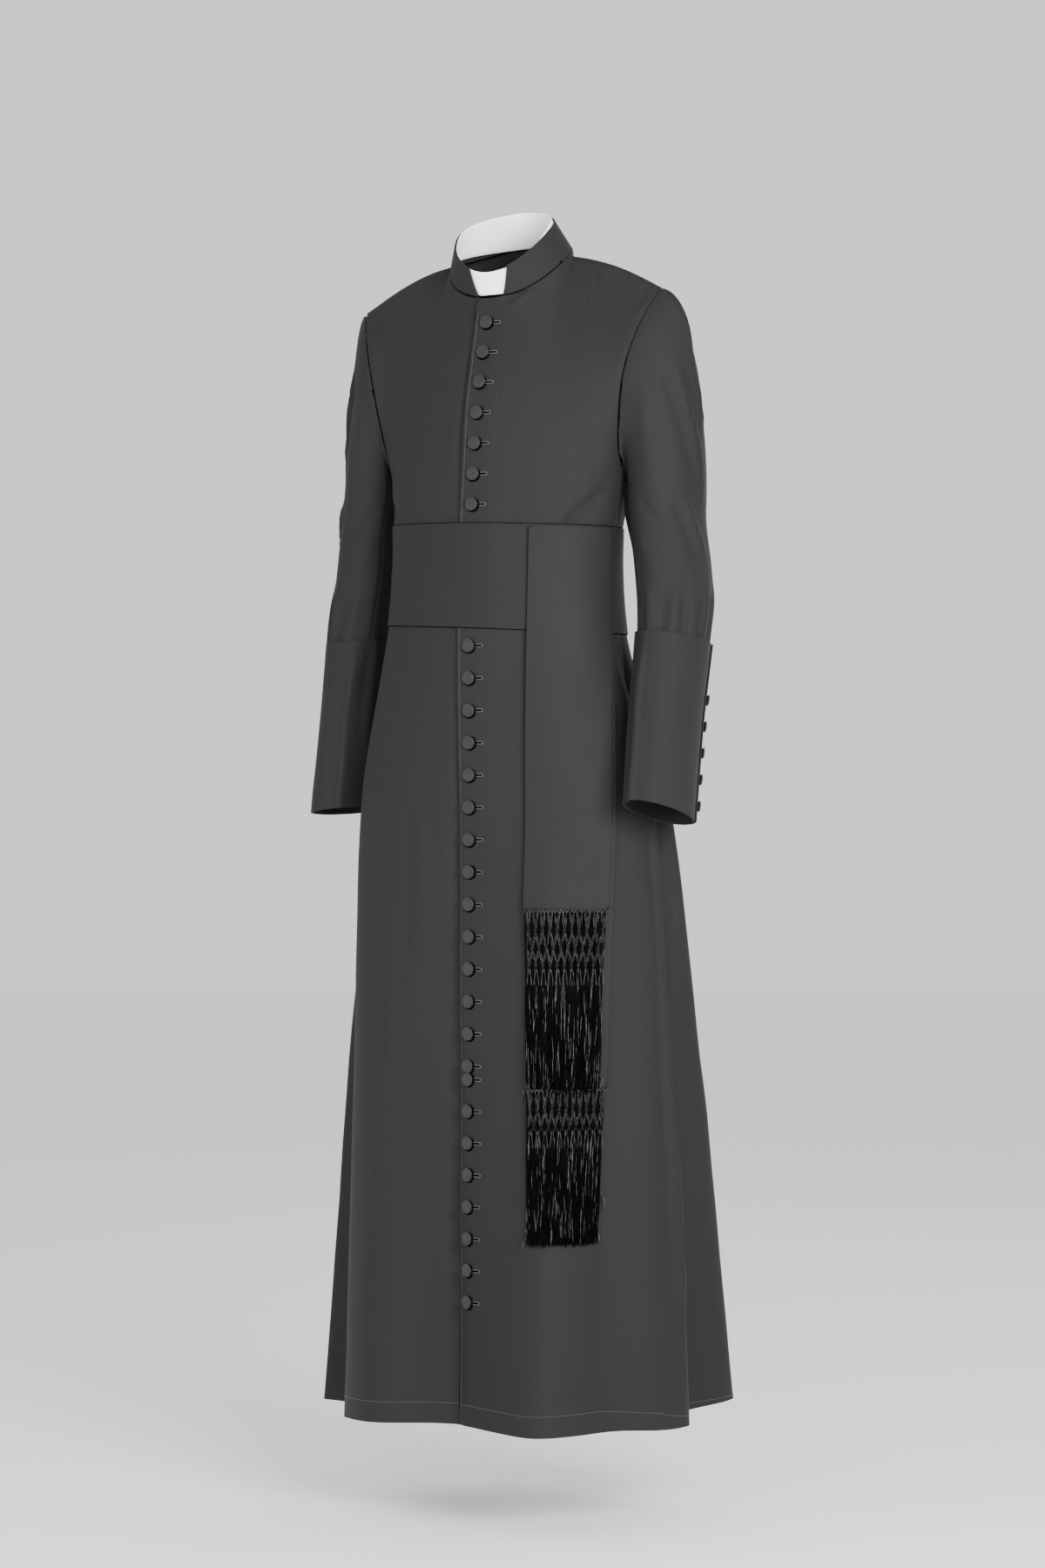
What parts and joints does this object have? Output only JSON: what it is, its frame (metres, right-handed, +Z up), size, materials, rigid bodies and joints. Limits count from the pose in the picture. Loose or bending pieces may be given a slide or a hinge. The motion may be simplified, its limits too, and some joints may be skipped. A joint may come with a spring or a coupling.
{
  "type": "cassock",
  "caption": "Ankle-length buttoned cassock with a stand collar, deep cuffs and a broad cincture with hanging fringed tails, kept in the hollow form that it takes when worn.",
  "frame": {"origin": "middle of the neck opening, where the wearer holds the garment, 1.58 m over the ground that the wearer stands on", "axes": "+X to the wearer's left, -Y to the wearer's front, +Z up; the garment hangs as it does on a standing wearer"},
  "size_m": [0.5706, 0.4057, 1.5429],
  "materials": {
    "wool_cloth": "matt, smooth, with a faint sheen",
    "silk_faille": "matt, fine ribs, with a soft sheen",
    "silk_thread": "glossy twisted thread",
    "white_insert": "smooth, semi-gloss"
  },
  "bodies": {
    "root": {"bodice_back_left": "wool_cloth", "bodice_back_right": "wool_cloth", "bodice_front_left": "wool_cloth", "bodice_front_right": "wool_cloth", "button_cuff_left_1": "wool_cloth", "button_cuff_left_2": "wool_cloth", "button_cuff_left_3": "wool_cloth", "button_cuff_left_4": "wool_cloth", "button_cuff_left_5": "wool_cloth", "button_cuff_right_1": "wool_cloth", "button_cuff_right_2": "wool_cloth", "button_cuff_right_3": "wool_cloth", "button_cuff_right_4": "wool_cloth", "button_cuff_right_5": "wool_cloth", "button_front_01": "wool_cloth", "button_front_02": "wool_cloth", "button_front_03": "wool_cloth", "button_front_04": "wool_cloth", "button_front_05": "wool_cloth", "button_front_06": "wool_cloth", "button_front_07": "wool_cloth", "button_front_08": "wool_cloth", "button_front_09": "wool_cloth", "button_front_10": "wool_cloth", "button_front_11": "wool_cloth", "button_front_12": "wool_cloth", "button_front_13": "wool_cloth", "button_front_14": "wool_cloth", "button_front_15": "wool_cloth", "button_front_16": "wool_cloth", "button_front_17": "wool_cloth", "button_front_18": "wool_cloth", "button_front_19": "wool_cloth", "button_front_20": "wool_cloth", "button_front_21": "wool_cloth", "button_front_22": "wool_cloth", "button_front_23": "wool_cloth", "button_front_24": "wool_cloth", "button_front_25": "wool_cloth", "button_front_26": "wool_cloth", "button_front_27": "wool_cloth", "button_front_28": "wool_cloth", "button_front_29": "wool_cloth", "cincture": "silk_faille", "collar": "wool_cloth", "collar_insert": "white_insert", "cuff_left": "wool_cloth", "cuff_right": "wool_cloth", "fringe_back": "silk_thread", "fringe_front": "silk_thread", "skirt_back_left": "wool_cloth", "skirt_back_right": "wool_cloth", "skirt_front_left": "wool_cloth", "skirt_front_right": "wool_cloth", "sleeve_top_left": "wool_cloth", "sleeve_top_right": "wool_cloth", "sleeve_under_left": "wool_cloth", "sleeve_under_right": "wool_cloth", "tail_back": "silk_faille", "tail_front": "silk_faille"}
  },
  "joints": []
}
